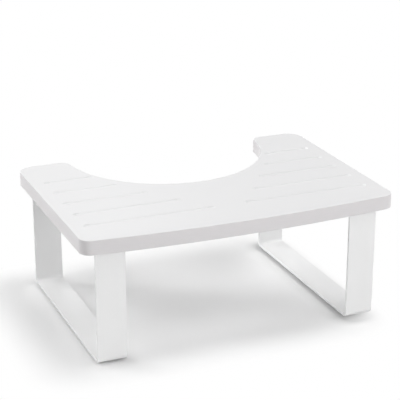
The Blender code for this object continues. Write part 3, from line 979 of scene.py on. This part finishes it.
def add_camera(settings):
    """Camera at the photograph's place, turn and tilt."""
    data = bpy.data.cameras.new("camera")
    data.lens = settings.camera_lens
    camera = bpy.data.objects.new("camera", data)
    camera.location = settings.camera_place
    camera.rotation_euler = (math.pi / 2 - settings.camera_tilt, 0, -settings.camera_turn)
    bpy.context.scene.collection.objects.link(camera)
    bpy.context.scene.camera = camera


class FOOTSTOOL_OT_footboard(bpy.types.Operator):
    """Make the lacquered board"""

    bl_idname = "footstool.footboard"
    bl_label = "Footboard"

    def execute(self, context):
        settings = context.scene.footstool_board
        new_piece(
            "footboard_lacquered", board_mesh(settings), lacquer(settings), "footboard")
        return {"FINISHED"}


class FOOTSTOOL_OT_leg_loops(bpy.types.Operator):
    """Make the two loops of bent flat bar"""

    bl_idname = "footstool.leg_loops"
    bl_label = "Leg Loops"

    def execute(self, context):
        settings = context.scene.footstool_loops
        material = powder_coat(settings)
        for side in SIDES:
            node = side + "_leg_loop"
            new_piece(node + "_coated", loop_mesh(settings, side), material, node)
        return {"FINISHED"}


class FOOTSTOOL_OT_fasteners(bpy.types.Operator):
    """Make the bolts and washers, and give the threaded inserts their brass"""

    bl_idname = "footstool.fasteners"
    bl_label = "Fasteners"

    def execute(self, context):
        settings = context.scene.footstool_fasteners
        zinc = zinc_plate(settings)
        brass = turned_brass(settings)
        bolt = bolt_mesh(settings, "left_bolt_front")
        washer = washer_mesh(settings, "left_washer_front")
        for side in SIDES:
            for where in BOLT_PLACES:
                node = f"{side}_bolt_{where}"
                seat = middle_of(node)
                seat.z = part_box(node)[0].z + settings.head_height
                new_piece(node + "_plated", bolt, zinc, node, seat)
                node = f"{side}_washer_{where}"
                top = middle_of(node)
                top.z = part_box(node)[1].z
                new_piece(node + "_plated", washer, zinc, node, top)
                for slot in frame["nodes"][f"{side}_insert_{where}"].material_slots:
                    slot.material = brass
        return {"FINISHED"}


class FOOTSTOOL_OT_pads(bpy.types.Operator):
    """Make the anti-slip pads"""

    bl_idname = "footstool.pads"
    bl_label = "Pads"

    def execute(self, context):
        settings = context.scene.footstool_pads
        material = rubber(settings)
        pad = pad_mesh(settings, "left_pad_front")
        for side in SIDES:
            for where in PAD_PLACES:
                node = f"{side}_pad_{where}"
                base = middle_of(node)
                base.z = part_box(node)[0].z
                new_piece(node + "_moulded", pad, material, node, base)
        return {"FINISHED"}


class FOOTSTOOL_OT_stage(bpy.types.Operator):
    """Make the floor, the lamps, the surroundings and the camera"""

    bl_idname = "footstool.stage"
    bl_label = "Stage"

    def execute(self, context):
        settings = context.scene.footstool_stage
        middle = Vector((0, 0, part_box("footboard")[0].z))
        add_floor(settings)
        light_surroundings(settings)
        for lamp in LAMPS:
            spot, watts = getattr(settings, lamp + "_place"), getattr(settings, lamp + "_power")
            add_lamp(lamp + "_lamp", spot, settings.lamp_size, watts, middle, lamp not in PLAIN_LAMPS)
        add_camera(settings)
        context.scene.view_settings.view_transform = "Standard"
        return {"FINISHED"}


class FOOTSTOOL_PT_sidebar(bpy.types.Panel):
    """Operators and settings of the footstool"""

    bl_idname = "FOOTSTOOL_PT_sidebar"
    bl_label = "Toilet Footstool"
    bl_space_type = "VIEW_3D"
    bl_region_type = "UI"
    bl_category = "Footstool"

    def draw(self, context):
        for operator, settings in STEPS:
            box = self.layout.box()
            box.operator(operator.bl_idname)
            group = getattr(context.scene, settings)
            for name in group.__annotations__:
                box.prop(group, name)


SETTINGS = {
    "footstool_board": FootboardSettings,
    "footstool_loops": LegLoopSettings,
    "footstool_fasteners": FastenerSettings,
    "footstool_pads": PadSettings,
    "footstool_stage": StageSettings,
}
STEPS = (
    (FOOTSTOOL_OT_footboard, "footstool_board"),
    (FOOTSTOOL_OT_leg_loops, "footstool_loops"),
    (FOOTSTOOL_OT_fasteners, "footstool_fasteners"),
    (FOOTSTOOL_OT_pads, "footstool_pads"),
    (FOOTSTOOL_OT_stage, "footstool_stage"),
)
CLASSES = (*SETTINGS.values(), *[operator for operator, _ in STEPS], FOOTSTOOL_PT_sidebar)


def register():
    """Register the classes, and the settings on the scene."""
    for kind in CLASSES:
        bpy.utils.register_class(kind)
    for name, kind in SETTINGS.items():
        setattr(bpy.types.Scene, name, PointerProperty(type=kind))


def unregister():
    """Undo what register did."""
    for name in SETTINGS:
        delattr(bpy.types.Scene, name)
    for kind in reversed(CLASSES):
        bpy.utils.unregister_class(kind)


def clear_startup_objects():
    """Remove what the scene held before the frame came in."""
    kept = set(frame["nodes"].values()) | set(frame["bodies"].values())
    for thing in list(bpy.data.objects):
        if thing not in kept:
            bpy.data.objects.remove(thing, do_unlink=True)


def main():
    """Register the add-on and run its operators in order."""
    clear_startup_objects()
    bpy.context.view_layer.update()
    register()
    bpy.ops.footstool.footboard()
    bpy.ops.footstool.leg_loops()
    bpy.ops.footstool.fasteners()
    bpy.ops.footstool.pads()
    bpy.ops.footstool.stage()


if __name__ == "__main__":
    main()
